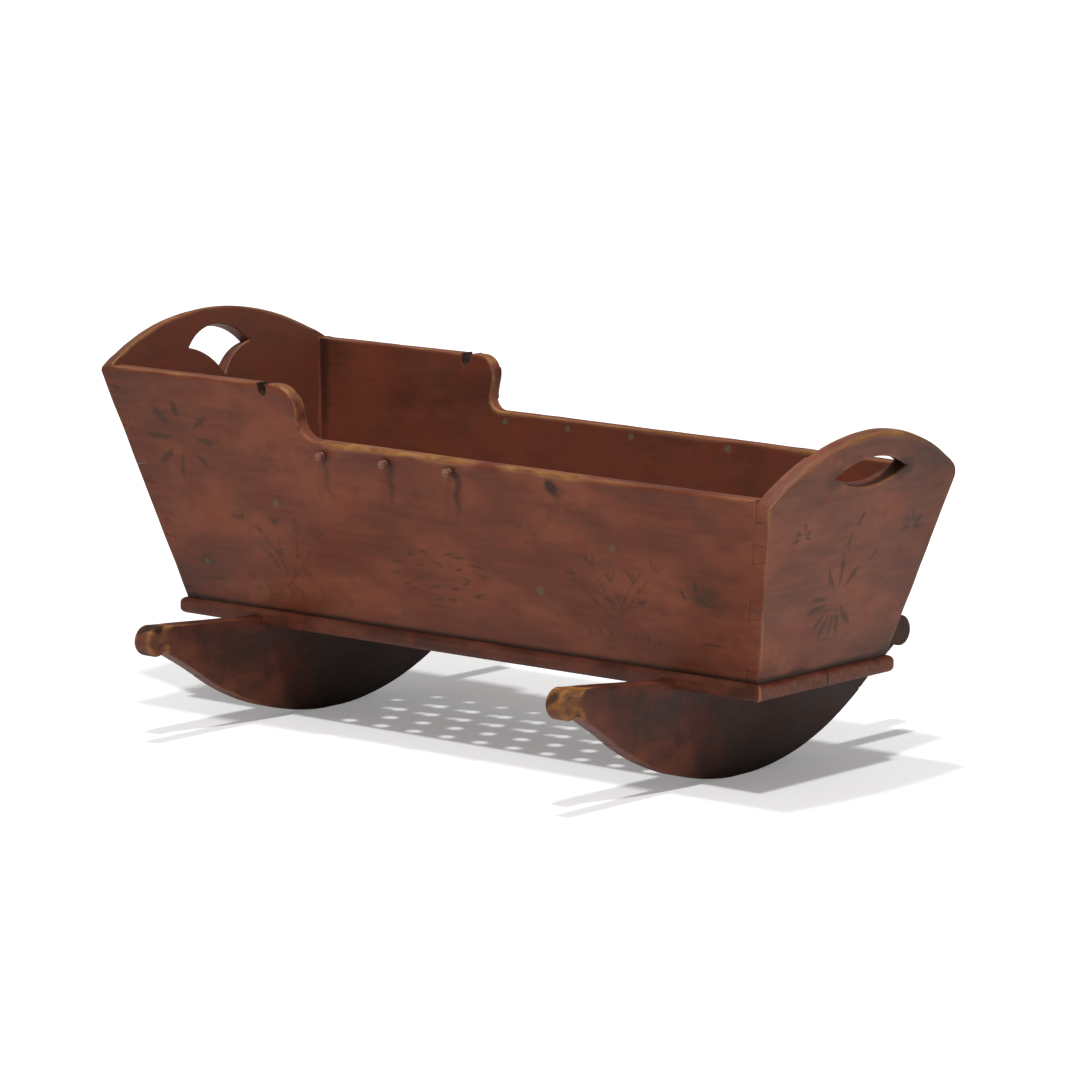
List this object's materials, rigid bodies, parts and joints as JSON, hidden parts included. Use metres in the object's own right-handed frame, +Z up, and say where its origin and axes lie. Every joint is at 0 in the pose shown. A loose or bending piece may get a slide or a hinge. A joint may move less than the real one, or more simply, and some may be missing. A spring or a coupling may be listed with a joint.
{
  "type": "rocking cradle",
  "caption": "Painted folk cradle: canted dovetailed box with arched, pierced end boards and stepped scrolled sides, lacing pegs, on a vented plank base over scroll-ended rockers.",
  "frame": {"origin": "on the floor below the middle of the cradle's outer box, where the rockers touch the floor in height", "axes": "+X towards the foot end, +Y towards the far long side, +Z up"},
  "size_m": [1.04, 0.661, 0.48],
  "materials": {
    "side_paint": "worn red-brown oil paint with faded ornament, bare ochre wood on rubbed edges, satin to matt",
    "end_paint": "worn red-brown oil paint with faded ornament, bare wood on the arched edges and hand holes, satin to matt",
    "base_paint": "dark worn red-brown paint, grimy below the box, satin",
    "rocker_paint": "dark worn red-brown paint, bare ochre wood on the scroll ends, satin",
    "peg_wood": "whittled hardwood, handled and darkened, satin",
    "nail_iron": "dark forged iron, lightly rusted"
  },
  "bodies": {
    "root": {"side_near": "side_paint", "side_far": "side_paint", "headboard": "end_paint", "footboard": "end_paint", "base_plank_near": "base_paint", "base_plank_far": "base_paint", "rocker_head": "rocker_paint", "rocker_foot": "rocker_paint", "peg_near_1": "peg_wood", "peg_near_2": "peg_wood", "peg_near_3": "peg_wood", "peg_near_4_stub": "peg_wood", "peg_far_1": "peg_wood", "peg_far_2": "peg_wood", "peg_far_3": "peg_wood", "peg_far_4": "peg_wood", "nails_side_near": "nail_iron", "nails_side_far": "nail_iron", "nails_headboard": "nail_iron", "nails_footboard": "nail_iron", "nails_rocker_head": "nail_iron", "nails_rocker_foot": "nail_iron"}
  },
  "joints": []
}
